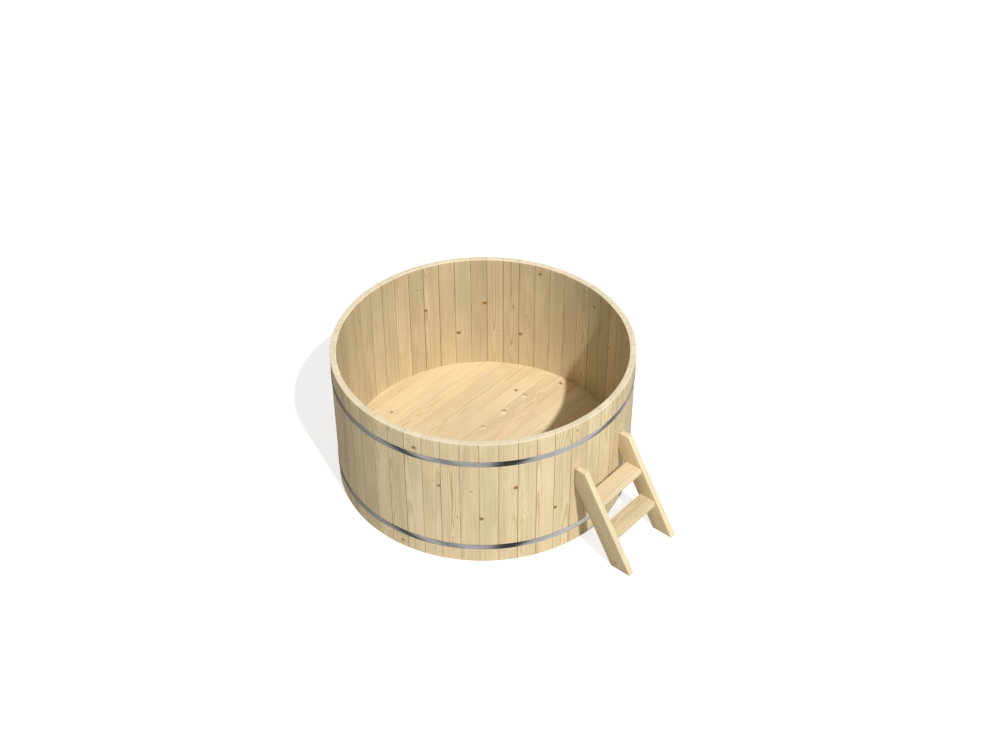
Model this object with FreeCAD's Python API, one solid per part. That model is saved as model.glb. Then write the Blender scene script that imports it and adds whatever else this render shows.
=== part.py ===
import FreeCAD, Part
import math
import os

# A round hot tub of upright wooden staves, drawn together by two steel hoops. A plank floor is let
# into the staves and lies on three bearers. The floor has a drain with a lift-out plug, and a loose
# two-step ladder leans on the wall.
# Millimetres and degrees. Z is up, the origin is on the tub's axis at ground level, and the ladder
# stands on the -Y side.

V = FreeCAD.Vector
UP = V(0, 0, 1)
CENTRE = V(0, 0, 0)

# Tub wall
tub_diameter = 2000.0
tub_height = 1000.0
stave_thickness = 42.0
stave_count = 52
stave_nodes = 13
ladder_angle = -90.0  # side of the tub where the ladder stands, from +X
seam_turn = -1.9  # from the ladder's centre line to the seam beside it
stave_foot_gap = 4.0  # the staves hang clear of the ground
seam_chamfer = 2.0
rim_chamfer = 3.0
foot_chamfer = 3.0

# Tongue and groove of staves and floor boards
tongue_length = 9.0
tongue_root = 14.0
tongue_tip = 10.0
joint_clearance = 0.3
groove_end_gap = 1.0

# Floor and bearers
bearer_height = 45.0
bearer_width = 95.0
bearer_from_wall = 338.0  # centre line of an outer bearer to the inside of the wall
bearer_end_gap = 12.0
floor_thickness = 42.0
floor_board_count = 17
floor_seam_chamfer = 1.5
croze_depth = 12.0
croze_clearance = 0.3

# Screws from the bearers into every third floor board
bearer_screw_boards = 3
bearer_screw_length = 65.0
bearer_screw_diameter = 6.0
bearer_screw_head = 12.0
bearer_screw_sink = 8.0
screw_clearance = 0.3

# Hoops
hoop_width = 40.0
hoop_thickness = 2.0
hoop_clearance = 0.2
lower_hoop_height = 134.0
upper_hoop_below_rim = 157.0
hoop_gap = 60.0  # between the ends of a hoop, bridged by its bolt
lower_closing_angle = 83.0
upper_closing_angle = 97.0

# Lugs, bolt and rivets that close a hoop
lug_thickness = 5.0
lug_height = 36.0
lug_foot_length = 64.0
lug_rib_thickness = 4.0
lug_clearance = 0.1
bolt_diameter = 12.0
bolt_height = 20.0  # from the hoop's outside to the bolt's axis
bolt_hole_clearance = 0.5
bolt_head_width = 19.0
bolt_head_height = 7.5
bolt_end_length = 8.0
nut_height = 10.8
nut_clearance = 0.15
washer_diameter = 24.0
washer_thickness = 2.5
rivet_diameter = 6.0
rivet_head_diameter = 11.0
rivet_head_height = 3.0
rivet_end_distance = 10.0
rivet_pitch = 15.0
rivet_clearance = 0.15

# Drain, in the third floor board from the ladder
drain_board = 2
drain_offset = 310.0  # from the middle of the board
drain_bore = 34.0
drain_mouth = 40.0
drain_seat_depth = 18.0
drain_tail_diameter = 48.0
drain_tail_length = 17.0  # below the floor
drain_spigot_diameter = 40.0  # for a waste pipe
drain_spigot_length = 20.0
drain_flange_diameter = 76.0
drain_flange_thickness = 3.0
drain_gasket_thickness = 2.0
drain_washer_thickness = 3.0
drain_nut_width = 66.0
drain_nut_height = 12.0
drain_clearance = 0.3

# Plug and pull ring
plug_seat_clearance = 0.3
plug_length = 21.0
plug_cap_diameter = 56.0
plug_cap_thickness = 4.0
plug_cap_chamfer = 1.5
eye_width = 14.0
eye_thickness = 7.0
eye_height = 8.0  # from the cap to the eye's axis
eye_hole = 6.0
ring_diameter = 26.0
ring_wire = 3.0
ring_clearance = 0.3

# Ladder
ladder_width = 494.0
ladder_height = 645.0
ladder_lean = 31.5  # from upright
ladder_top_depth = 73.0  # level top of a stringer, from the wall to its front edge
ladder_wall_clearance = 0.3
stringer_thickness = 42.0
stringer_width = 128.0
ladder_edge_chamfer = 2.0
lower_step_height = 233.0
upper_step_height = 439.0
step_thickness = 42.0
step_depth = 120.0
step_setback = 8.0
housing_depth = 10.0
housing_clearance = 0.2
step_screw_length = 80.0
step_screw_diameter = 5.0
step_screw_head = 10.0
step_screw_inset = 30.0

# How far a cutting shape runs past the face that it cuts
overrun = 5.0

# Worked out from the sizes above
outer_radius = tub_diameter / 2
inner_radius = outer_radius - stave_thickness
floor_bottom = bearer_height
floor_top = floor_bottom + floor_thickness
floor_radius = inner_radius + croze_depth - croze_clearance
floor_board_width = 2 * floor_radius / floor_board_count
bearer_spacing = inner_radius - bearer_from_wall
upper_hoop_height = tub_height - upper_hoop_below_rim
hoop_inside = outer_radius + hoop_clearance
hoop_outside = hoop_inside + hoop_thickness


def turned(outline):
    """Solid of revolution about Z of a closed outline of (radius, height) points."""
    points = [V(radius, 0, height) for radius, height in outline]
    face = Part.Face(Part.makePolygon(points + points[:1]))
    return face.revolve(CENTRE, UP, 360)


def prism(points, travel):
    """Solid swept by a closed polygon along a straight travel."""
    return Part.Face(Part.makePolygon(points + points[:1])).extrude(travel)


def hexagon(width, height):
    """Hexagonal prism standing on the XY plane, given its width across the flats."""
    corner = width / math.sqrt(3)
    angles = [math.radians(60 * side) for side in range(6)]
    return prism([V(corner * math.cos(a), corner * math.sin(a), 0) for a in angles], UP * height)


def aimed(shape, direction, place):
    """Copy of a shape made along Z, turned to a direction and moved to a place."""
    copy = shape.copy()
    copy.Placement = FreeCAD.Placement(place, FreeCAD.Rotation(UP, direction))
    return copy


def turned_about_axis(shape, angle):
    """Copy of a shape turned about the tub's axis."""
    copy = shape.copy()
    copy.rotate(CENTRE, UP, angle)
    return copy


def save(node, shapes):
    """Write one node, which may be a group of separate solids."""
    solids = [solid for shape in shapes for solid in shape.Solids]
    whole = solids[0] if len(solids) == 1 else Part.makeCompound(solids)
    whole.exportStep("parts/" + node + ".step")


def joint_edge(thickness, chamfer, grooved):
    """Edge of a board from face to face, as (depth, outward) points.

    The tongue stands out at mid-thickness. The groove is wider by the joint clearance and deeper
    than the tongue is long. Both faces are chamfered, so that a closed joint shows as a small V.
    """
    middle = thickness / 2
    slack = joint_clearance if grooved else 0.0
    reach = -tongue_length - groove_end_gap if grooved else tongue_length
    root = tongue_root / 2 + slack
    tip = tongue_tip / 2 + slack
    return [
        (-overrun, -chamfer - overrun),
        (chamfer, 0.0),
        (middle - root, 0.0),
        (middle - tip, reach),
        (middle + tip, reach),
        (middle + root, 0.0),
        (thickness - chamfer, 0.0),
        (thickness + overrun, -chamfer - overrun),
    ]


def stave_edge(angle, side, grooved):
    """Points of a stave's edge, on the radial plane at an angle, from the inside to the outside."""
    along = V(math.cos(angle), math.sin(angle), 0)
    outwards = V(-math.sin(angle), math.cos(angle), 0) * side
    edge = joint_edge(stave_thickness, seam_chamfer, grooved)
    return [along * (inner_radius + depth) + outwards * out for depth, out in edge]


def make_stave():
    """One stave on the +X side.

    Its plan is a wedge with a tongue on one edge and a groove on the other. The wall's own section,
    turned about the axis, gives it the round faces, the eased ends and the croze for the floor.
    """
    half = math.pi / stave_count
    plan = stave_edge(half, 1, False) + stave_edge(-half, -1, True)[::-1]
    wedge = prism(plan, UP * tub_height)
    croze_bottom = inner_radius + croze_depth
    croze_top = floor_top + croze_clearance
    section = [
        (inner_radius, stave_foot_gap),
        (outer_radius - foot_chamfer, stave_foot_gap),
        (outer_radius, stave_foot_gap + foot_chamfer),
        (outer_radius, tub_height - rim_chamfer),
        (outer_radius - rim_chamfer, tub_height),
        (inner_radius + rim_chamfer, tub_height),
        (inner_radius, tub_height - rim_chamfer),
        (inner_radius, croze_top),
        (croze_bottom, croze_top),
        (croze_bottom, floor_bottom),
        (inner_radius, floor_bottom),
    ]
    return wedge.common(turned(section)).Solids[0]


def save_staves():
    """The ring of staves, in nodes of neighbouring staves that start beside the ladder."""
    stave = make_stave()
    pitch = 360 / stave_count
    first = ladder_angle + seam_turn + pitch / 2
    ring = [turned_about_axis(stave, first + pitch * index) for index in range(stave_count)]
    for node in range(stave_nodes):
        start = node * stave_count // stave_nodes
        end = (node + 1) * stave_count // stave_nodes
        save("staves_%02d" % (node + 1), ring[start:end])


def board_middle(index):
    """Distance of a floor board's centre line from the tub's axis, along Y."""
    return (index + 0.5) * floor_board_width - floor_radius


def make_floor_board(index):
    """One floor board along X, rounded at its ends where it enters the croze."""
    near = board_middle(index) - floor_board_width / 2
    far = near + floor_board_width
    groove = joint_edge(floor_thickness, floor_seam_chamfer, True)
    tongue = joint_edge(floor_thickness, floor_seam_chamfer, False)
    plain = [(-overrun, overrun), (floor_thickness + overrun, overrun)]
    near_edge = plain if index == 0 else groove
    far_edge = plain if index == floor_board_count - 1 else tongue
    start = -floor_radius - overrun
    outline = [V(start, near - out, floor_bottom + depth) for depth, out in near_edge]
    outline += [V(start, far + out, floor_bottom + depth) for depth, out in far_edge[::-1]]
    disc = Part.makeCylinder(floor_radius, floor_thickness, UP * floor_bottom)
    return prism(outline, V(-2 * start, 0, 0)).common(disc)


def wood_screw(length, diameter, head, slack=0.0):
    """Countersunk screw along Z, head face at the origin. Slack makes it the hole for the screw."""
    radius = diameter / 2 + slack
    head_radius = head / 2 + slack
    head_height = head_radius - radius
    return turned([
        (0, 0),
        (head_radius, 0),
        (radius, head_height),
        (radius, length - diameter + slack),
        (0, length + slack),
    ])


def bearer_places():
    """Where the bearers lie, with half the length that fits inside the staves."""
    places = []
    for x in (-bearer_spacing, 0.0, bearer_spacing):
        far_side = abs(x) + bearer_width / 2
        places.append((x, math.sqrt(inner_radius ** 2 - far_side ** 2) - bearer_end_gap))
    return places


def bearer_screw_places():
    """Heads of the bearer screws, on the centre lines of the boards that take one."""
    heads = []
    middle = floor_board_count // 2
    for x, half_length in bearer_places():
        for index in range(middle % bearer_screw_boards, floor_board_count, bearer_screw_boards):
            y = board_middle(index)
            if abs(y) + bearer_screw_head < half_length:
                heads.append(V(x, y, bearer_screw_sink))
    return heads


def save_floor():
    """Floor boards, bearers and the screws between them."""
    screw_hole = wood_screw(bearer_screw_length, bearer_screw_diameter, bearer_screw_head,
                            screw_clearance)
    sink = Part.makeCylinder(bearer_screw_head / 2 + screw_clearance, bearer_screw_sink + overrun,
                             UP * -overrun)
    holes = []
    for head in bearer_screw_places():
        holes.append(aimed(screw_hole, UP, head))
        holes.append(aimed(sink, UP, V(head.x, head.y, 0)))
    cuts = Part.makeCompound(holes)
    for index in range(floor_board_count):
        board = make_floor_board(index).cut(cuts)
        if index == drain_board:
            board = board.cut(drain_hole())
        save("floor_board_%02d" % (index + 1), [board])
    for name, (x, half_length) in zip(("left", "middle", "right"), bearer_places()):
        corner = V(x - bearer_width / 2, -half_length, 0)
        bearer = Part.makeBox(bearer_width, 2 * half_length, bearer_height, corner)
        save("bearer_" + name, [bearer.cut(cuts)])
    screw = wood_screw(bearer_screw_length, bearer_screw_diameter, bearer_screw_head)
    save("bearer_screws", [aimed(screw, UP, head) for head in bearer_screw_places()])


def arc_about_axis(radius, start, end):
    """Edge of a circle about the tub's axis, from one angle to another in radians."""
    angles = (start, (start + end) / 2, end)
    return Part.Arc(*[V(radius * math.cos(a), radius * math.sin(a), 0) for a in angles]).toShape()


def make_lug():
    """Lug on the +Y end of a hoop whose gap faces +X, centred on the XY plane.

    A foot follows the hoop, an upright takes the bolt, and two ribs brace the upright.
    """
    seat = hoop_outside + lug_clearance
    top = seat + lug_thickness
    tip = hoop_outside + lug_height
    face = hoop_gap / 2
    back = face + lug_thickness
    start = math.asin(face / seat)
    end = start + lug_foot_length / seat
    under = arc_about_axis(seat, start, end)
    over = arc_about_axis(top, end, math.asin(back / top))
    heel, toe_under = [vertex.Point for vertex in under.Vertexes]
    toe_over, corner = [vertex.Point for vertex in over.Vertexes]
    toe = Part.makeLine(toe_under, toe_over)
    upright = Part.makePolygon([corner, V(tip, back, 0), V(tip, face, 0), heel])
    profile = Part.Face(Part.Wire([under, toe, over] + upright.Edges))
    lug = profile.extrude(UP * hoop_width)
    inside = lug_thickness / 2
    brace = [
        V(tip, back, 0),
        toe_over,
        (toe_over + toe_under) * 0.5,
        corner - V(inside, inside, 0),
        V(tip, back - inside, 0),
    ]
    rib = prism(brace, UP * lug_rib_thickness)
    upper_rib = rib.translated(UP * (hoop_width - lug_rib_thickness))
    lug = lug.fuse([rib, upper_rib]).removeSplitter()
    return lug.translated(UP * (-hoop_width / 2))


def rivet_lines():
    """Angles of the rivets from the middle of a hoop's gap, in radians."""
    toe = math.asin(hoop_gap / 2 / hoop_outside) + lug_foot_length / hoop_outside
    first = toe - rivet_end_distance / hoop_outside
    return [side * (first - row * rivet_pitch / hoop_outside) for side in (1, -1) for row in (0, 1)]


def rivet_shapes(slack):
    """Rivets of one hoop, from the hoop's inside to their heads. Slack makes them holes."""
    shank = hoop_thickness + lug_clearance + lug_thickness
    radius = rivet_diameter / 2 + slack
    head_radius = rivet_head_diameter / 2
    flat = head_radius - rivet_head_height / 2
    rivet = turned([
        (0, -slack),
        (radius, -slack),
        (radius, shank),
        (head_radius, shank),
        (head_radius, shank + rivet_head_height / 2),
        (flat, shank + rivet_head_height),
        (0, shank + rivet_head_height),
    ])
    directions = [V(math.cos(a), math.sin(a), 0) for a in rivet_lines()]
    return [aimed(rivet, direction, direction * hoop_inside) for direction in directions]


def make_hoop():
    """Flat steel band with its gap on +X, centred on the XY plane."""
    half_gap = math.degrees(math.asin(hoop_gap / 2 / hoop_outside))
    low = -hoop_width / 2
    corners = [(hoop_inside, low), (hoop_outside, low), (hoop_outside, -low), (hoop_inside, -low)]
    points = [V(radius, 0, height) for radius, height in corners]
    face = Part.Face(Part.makePolygon(points + points[:1]))
    face.rotate(CENTRE, UP, half_gap)
    return face.revolve(CENTRE, UP, 360 - 2 * half_gap)


def save_hoops():
    """Both hoops with the lugs, bolts, nuts, washers and rivets that close them."""
    axis = hoop_outside + bolt_height
    across = V(0, 1, 0)
    bolt_hole = Part.makeCylinder(bolt_diameter / 2 + bolt_hole_clearance, hoop_gap * 2,
                                  V(axis, -hoop_gap, 0), across)
    holes = rivet_shapes(rivet_clearance)
    band = make_hoop().cut(holes)
    lug = make_lug().cut([bolt_hole] + holes)
    lugs = [lug, lug.mirror(CENTRE, across)]

    washer_seat = hoop_gap / 2 + lug_thickness
    nut_seat = washer_seat + washer_thickness
    bolt_length = 2 * nut_seat + nut_height + bolt_end_length
    tip_chamfer = bolt_diameter / 8
    radius = bolt_diameter / 2
    shank = turned([
        (0, 0),
        (radius, 0),
        (radius, bolt_length - tip_chamfer),
        (radius - tip_chamfer, bolt_length),
        (0, bolt_length),
    ])
    head = hexagon(bolt_head_width, bolt_head_height).translated(UP * -bolt_head_height)
    bolt = aimed(shank.fuse(head), -across, V(axis, nut_seat, 0))
    nut_bore = Part.makeCylinder(radius + nut_clearance, nut_height)
    nut = hexagon(bolt_head_width, nut_height).cut(nut_bore)
    nut = aimed(nut, -across, V(axis, -nut_seat, 0))
    washer = Part.makeCylinder(washer_diameter / 2, washer_thickness)
    washer = washer.cut(Part.makeCylinder(radius + bolt_hole_clearance, washer_thickness))
    washers = [aimed(washer, side, V(axis, 0, 0) + side * washer_seat) for side in (across, -across)]

    hoops = {"lower": (lower_hoop_height, lower_closing_angle),
             "upper": (upper_hoop_height, upper_closing_angle)}
    shared = {"hoop_bolts": [bolt], "hoop_nuts": [nut], "hoop_washers": washers,
              "hoop_rivets": rivet_shapes(0.0)}
    placed = {node: [] for node in shared}
    for name, (height, angle) in hoops.items():
        save(name + "_hoop", [turned_about_axis(band, angle).translated(UP * height)])
        save(name + "_hoop_lugs", [turned_about_axis(s, angle).translated(UP * height) for s in lugs])
        for node, shapes in shared.items():
            placed[node] += [turned_about_axis(s, angle).translated(UP * height) for s in shapes]
    for node, shapes in placed.items():
        save(node, shapes)


def drain_place():
    """Middle of the drain, level with the floor's top."""
    return V(-drain_offset, board_middle(drain_board), floor_top)


def drain_hole():
    """What the drain takes out of its floor board: the tail's hole and the flange's recess."""
    recess = drain_flange_thickness + drain_gasket_thickness
    tail = drain_tail_diameter / 2 + drain_clearance
    flange = drain_flange_diameter / 2 + drain_clearance
    hole = turned([
        (0, -floor_thickness - overrun),
        (tail, -floor_thickness - overrun),
        (tail, -recess),
        (flange, -recess),
        (flange, overrun),
        (0, overrun),
    ])
    return hole.translated(drain_place())


def save_drain():
    """Drain body, its seals and back nut, the plug and the pull ring."""
    place = drain_place()
    bore = drain_bore / 2
    tail = drain_tail_diameter / 2
    flange = drain_flange_diameter / 2
    spigot = drain_spigot_diameter / 2
    tail_end = -floor_thickness - drain_tail_length
    body = turned([
        (bore, tail_end - drain_spigot_length),
        (spigot, tail_end - drain_spigot_length),
        (spigot, tail_end),
        (tail, tail_end),
        (tail, -drain_flange_thickness),
        (flange, -drain_flange_thickness),
        (flange, 0),
        (drain_mouth / 2, 0),
        (bore, -drain_seat_depth),
    ])
    save("drain_body", [body.translated(place)])

    around_tail = tail + drain_clearance
    rings = {"drain_gasket": (-drain_flange_thickness - drain_gasket_thickness, drain_gasket_thickness),
             "drain_washer": (-floor_thickness - drain_washer_thickness, drain_washer_thickness)}
    for node, (height, thickness) in rings.items():
        seal = Part.makeCylinder(flange, thickness).cut(Part.makeCylinder(around_tail, thickness))
        save(node, [seal.translated(place + UP * height)])
    nut = hexagon(drain_nut_width, drain_nut_height)
    nut = nut.cut(Part.makeCylinder(around_tail, drain_nut_height))
    under_washer = -floor_thickness - drain_washer_thickness - drain_nut_height
    save("drain_nut", [nut.translated(place + UP * under_washer)])

    save("drain_plug", [make_plug().translated(place)])
    save("drain_pull_ring", [make_pull_ring().translated(place)])


def make_plug():
    """Tapered stopper with a round cap that rests on the drain's flange, and an eye for the ring."""
    slope = (drain_mouth - drain_bore) / 2 / drain_seat_depth
    neck = drain_mouth / 2 - plug_seat_clearance
    cap = plug_cap_diameter / 2
    stopper = turned([
        (0, -plug_length),
        (neck - slope * plug_length, -plug_length),
        (neck, 0),
        (cap, 0),
        (cap, plug_cap_thickness - plug_cap_chamfer),
        (cap - plug_cap_chamfer, plug_cap_thickness),
        (0, plug_cap_thickness),
    ])
    across = V(0, 1, 0)
    near = V(0, -eye_thickness / 2, plug_cap_thickness + eye_height)
    arch = Part.makeCylinder(eye_width / 2, eye_thickness, near, across)
    post = Part.makeBox(eye_width, eye_thickness, eye_height + plug_cap_thickness / 2,
                        V(-eye_width / 2, -eye_thickness / 2, plug_cap_thickness / 2))
    hole = Part.makeCylinder(eye_hole / 2, eye_thickness, near, across)
    return stopper.fuse([arch, post]).removeSplitter().cut(hole)


def make_pull_ring():
    """Wire ring that hangs in the plug's eye and lies on the cap."""
    wire = ring_wire / 2
    hang = eye_hole / 2 - wire - ring_clearance
    pivot = V(0, 0, plug_cap_thickness + eye_height - hang)
    drop = pivot.z - plug_cap_thickness - wire - ring_clearance
    slope = math.degrees(math.asin(drop / ring_diameter))
    ring = Part.makeTorus(ring_diameter / 2, wire)
    ring.translate(V(ring_diameter / 2, 0, 0))
    ring.rotate(CENTRE, V(0, 1, 0), slope)
    return ring.translated(pivot)


def front_edge(height):
    """Distance of the stringers' front edge from the tub's axis at a height."""
    wall = stringer_back()
    return wall + ladder_top_depth + (ladder_height - height) * math.tan(math.radians(ladder_lean))


def stringer_back():
    """Distance of the stringers' upright back cut from the tub's axis, where it meets the wall."""
    arris = ladder_width / 2 - stringer_thickness + ladder_edge_chamfer
    return math.sqrt(outer_radius ** 2 - arris ** 2) + ladder_wall_clearance


def make_stringer():
    """Right stringer: a leaning plank cut level at its foot and top and upright at the wall."""
    lean = math.tan(math.radians(ladder_lean))
    plank = stringer_width / math.cos(math.radians(ladder_lean))
    back = stringer_back()
    cut_start = (front_edge(0) - plank - back) / lean
    outline = [
        (front_edge(0), 0),
        (front_edge(ladder_height), ladder_height),
        (back, ladder_height),
        (back, cut_start),
        (front_edge(0) - plank, 0),
    ]
    inside = ladder_width / 2 - stringer_thickness
    points = [V(inside, -reach, height) for reach, height in outline]
    stringer = prism(points, V(stringer_thickness, 0, 0))
    return stringer.makeChamfer(ladder_edge_chamfer, stringer.Edges)


def step_box(height, half_length, slack):
    """Block of a step whose top is at a height. Slack makes it the housing for the step."""
    front = front_edge(height) - step_setback
    corner = V(-half_length, -front - slack, height - step_thickness - slack)
    return Part.makeBox(2 * half_length, step_depth + 2 * slack, step_thickness + 2 * slack, corner)


def make_step(height):
    """Step with eased long edges, let into a housing in each stringer."""
    half_length = ladder_width / 2 - stringer_thickness + housing_depth - housing_clearance
    step = step_box(height, half_length, 0.0)
    long_edges = [edge for edge in step.Edges if edge.BoundBox.XLength > half_length]
    return step.makeChamfer(ladder_edge_chamfer, long_edges)


def step_screw_heads(height):
    """Heads of the screws of one step's right end, on the stringer's outside."""
    front = front_edge(height) - step_setback
    reaches = (front - step_screw_inset, front - step_depth + step_screw_inset)
    return [V(ladder_width / 2, -reach, height - step_thickness / 2) for reach in reaches]


def save_ladder():
    """Ladder of two stringers and two steps, with the screws that hold the steps."""
    across = V(1, 0, 0)
    steps = {"lower": lower_step_height, "upper": upper_step_height}
    screw = wood_screw(step_screw_length, step_screw_diameter, step_screw_head)
    screw_hole = wood_screw(step_screw_length, step_screw_diameter, step_screw_head, screw_clearance)
    heads = [head for height in steps.values() for head in step_screw_heads(height)]
    holes = [aimed(screw_hole, -across, head) for head in heads]
    screws = [aimed(screw, -across, head) for head in heads]
    holes += [hole.mirror(CENTRE, across) for hole in holes]
    screws += [one.mirror(CENTRE, across) for one in screws]

    housing_end = ladder_width / 2 - stringer_thickness + housing_depth
    housings = [step_box(height, housing_end, housing_clearance) for height in steps.values()]
    right = make_stringer().cut(housings + holes)
    left = make_stringer().mirror(CENTRE, across).cut(housings + holes)
    save("ladder_stringer_right", [right])
    save("ladder_stringer_left", [left])
    for name, height in steps.items():
        save("ladder_step_" + name, [make_step(height).cut(holes)])
    save("ladder_screws", screws)


os.makedirs("parts", exist_ok=True)
save_staves()
save_floor()
save_hoops()
save_drain()
save_ladder()
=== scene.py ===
import math
import bpy
import numpy as np
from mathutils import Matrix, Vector


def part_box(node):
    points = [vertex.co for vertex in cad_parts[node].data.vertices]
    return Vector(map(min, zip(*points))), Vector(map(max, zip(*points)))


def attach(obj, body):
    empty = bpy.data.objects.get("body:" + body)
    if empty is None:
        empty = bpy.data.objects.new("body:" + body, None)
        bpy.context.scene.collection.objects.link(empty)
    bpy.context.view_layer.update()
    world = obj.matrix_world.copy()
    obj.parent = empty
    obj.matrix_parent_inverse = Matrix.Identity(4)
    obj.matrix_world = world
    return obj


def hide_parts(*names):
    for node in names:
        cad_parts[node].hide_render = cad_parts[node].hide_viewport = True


# A round wooden hot tub with a leaning ladder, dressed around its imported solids.
# Metres. The boards of the wall, the floor and the ladder, the hoops and the visible fasteners are
# new surfaces in the places of their solids. The other solids keep their shape and get a finish.

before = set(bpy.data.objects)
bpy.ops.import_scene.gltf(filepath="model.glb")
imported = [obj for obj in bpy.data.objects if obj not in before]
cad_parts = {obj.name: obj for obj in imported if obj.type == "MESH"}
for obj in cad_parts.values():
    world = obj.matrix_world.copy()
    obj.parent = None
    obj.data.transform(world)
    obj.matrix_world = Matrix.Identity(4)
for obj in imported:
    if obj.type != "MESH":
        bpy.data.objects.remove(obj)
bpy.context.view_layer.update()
random = np.random.default_rng(52)
TURN = 2 * math.pi

# Wall
outer_radius = 1.0
wall_thickness = 0.042
staves_per_node = 4
first_seam = math.radians(-91.9)  # where the first stave starts, from +X
seam_chamfer = 0.002
rim_round = 0.003
foot_chamfer = 0.003
croze_depth = 0.012
croze_clearance = 0.0003
largest_stave_inset = 0.0004
largest_stave_drop = 0.0006

# Tongue and groove of staves and floor boards
tongue_length = 0.009
tongue_root = 0.014
tongue_tip = 0.010
joint_clearance = 0.0003
groove_end_gap = 0.001

# Floor and its drain
floor_radius = 0.9697
floor_chamfer = 0.0015
largest_board_drop = 0.0005
end_board_trim = 0.002
drain_board = "floor_board_03"
drain_recess = 0.005
drain_tail_radius = 0.024
drain_clearance = 0.0003

# Hoops and what closes them
hoop_clearance = 0.0002
hoop_thickness = 0.002
hoop_corner = 0.0006
hoop_gap = 0.060
closing_angles = {"lower": math.radians(83), "upper": math.radians(97)}
lug_thickness = 0.005
lug_foot_length = 0.064
lug_clearance = 0.0001
washer_thickness = 0.0025
rivet_radius = 0.003
rivet_head_radius = 0.0055
rivet_head_height = 0.003
rivet_top_share = 0.06  # flat on top of the dome, of the head's radius
rivet_end_distance = 0.010
rivet_pitch = 0.015

# Bolt and nut. A share is of half the width across the flats.
bolt_height = 0.020  # from the hoop's outside to the bolt's axis
bolt_radius = 0.006
bolt_pitch = 0.00175
bolt_rows_per_pitch = 8
bolt_thread_depth = 0.0008
bolt_thread_length = 0.036
bolt_thread_taper = 0.003
bolt_tip_length = 0.001
bolt_tip_radius = 0.00488
bolt_end_length = 0.008  # past the nut
bolt_head_width = 0.019
bolt_head_height = 0.0075
bolt_head_edge = 0.0004
bolt_crown_height = 0.0022
bolt_crown_shares = (0.90, 0.96)  # flat top, and where the cone that turns off the corners starts
bolt_seat_share = 0.98
nut_height = 0.0108
nut_clearance = 0.00015
nut_chamfer = 0.0012
nut_chamfer_shares = (0.97, 0.98)  # flat face, and where its cone starts
nut_mouth = 0.0006
nut_mouth_depth = 0.0008
corner_share = 1.16  # just past the corners of a hexagon

# Ladder
ladder_width = 0.494
ladder_height = 0.645
ladder_lean = math.radians(31.5)
ladder_top_depth = 0.073
ladder_wall_clearance = 0.0003
ladder_edge_round = 0.002
ladder_end_round = 0.0024
stringer_thickness = 0.042
stringer_width = 0.128
step_end_round = 0.001
step_screw_inset = 0.030
screw_length = 0.080
screw_radius = 0.0025
screw_tip_radius = 0.0002
screw_tip_length = 0.005
screw_head_radius = 0.005
screw_head_rise = 0.0003
screw_head_edge = 0.0003
screw_recess_radius = 0.0021
screw_recess_depth = 0.0024
screw_recess_taper = 0.92
screw_lobes = 6
screw_lobe_height = 0.00035

# Logs that the boards are sawn from
heart_aside = 0.09  # most that a log's heart lies to the side of a board's middle
heart_behind = (0.03, 0.16)  # least and most that it lies behind or before the board
log_slant = 0.012  # most that a log runs askew, per metre
log_length = 40.0  # the boards lie at random places along it
ring_pitch = 0.004
ring_drift = 3.5  # most rings that the slow noise adds
grain_wander = 0.022
grain_ripple = 0.0022

# Knots in the wall: angle about the tub's axis in degrees, height and radius
outer_knots = [
    (-154.8, 0.635, 0.009), (-143.2, 0.615, 0.006), (-140.0, 0.382, 0.011), (-164.0, 0.901, 0.010),
    (-148.4, 0.386, 0.005), (159.0, 0.392, 0.007), (-164.7, 0.676, 0.005), (-127.0, 0.631, 0.011),
    (-112.1, 0.378, 0.010), (-124.1, 0.398, 0.005), (-118.5, 0.645, 0.004), (-103.4, 0.955, 0.007),
    (-125.4, 0.928, 0.004), (-170.5, 0.052, 0.008), (178.4, 0.060, 0.006),
]
inner_knots = [
    (67.2, 0.628, 0.010), (52.3, 0.372, 0.011), (40.5, 0.626, 0.012), (64.4, 0.391, 0.005),
    (102.8, 0.848, 0.008), (25.3, 0.372, 0.011), (28.1, 0.606, 0.006), (16.5, 0.935, 0.009),
    (-11.8, 0.865, 0.009), (-23.6, 0.636, 0.008), (34.3, 0.376, 0.005), (58.0, 0.621, 0.005),
]
# Knots in the floor: along X, along Y, and radius, which is below zero for an eye in the grain
floor_knots = [
    (-0.143, 0.745, 0.009), (0.621, 0.235, 0.009), (0.606, 0.148, -0.027), (0.372, 0.146, -0.030),
    (0.895, 0.041, 0.010), (-0.35, 0.33, 0.005), (0.05, -0.24, -0.020), (-0.52, -0.03, 0.005),
    (0.160, 0.140, -0.018),
]
# Knots in a stringer: across, up from its foot, and radius. The first shows on the outside only.
stringer_knots = [(0.02, 0.10, 0.007), (0.03, 0.43, 0.005)]
floor_knot_reach = 0.8  # farthest from the middle of a floor board
random_knot_radius = (0.003, 0.007)
random_knots_per_metre = 0.22
random_knot_spread = 0.42  # farthest from the middle of a board, in its widths
knot_width = 1.3  # of its height
dark_knot_radius = 0.011  # smaller knots are fainter
knot_push_end = (0.03, 0.10)  # along the grain from a knot, where its push on the grain fades out
no_knot = (9.0, 9.0, 0.01, 0.0)  # far from every board

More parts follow.
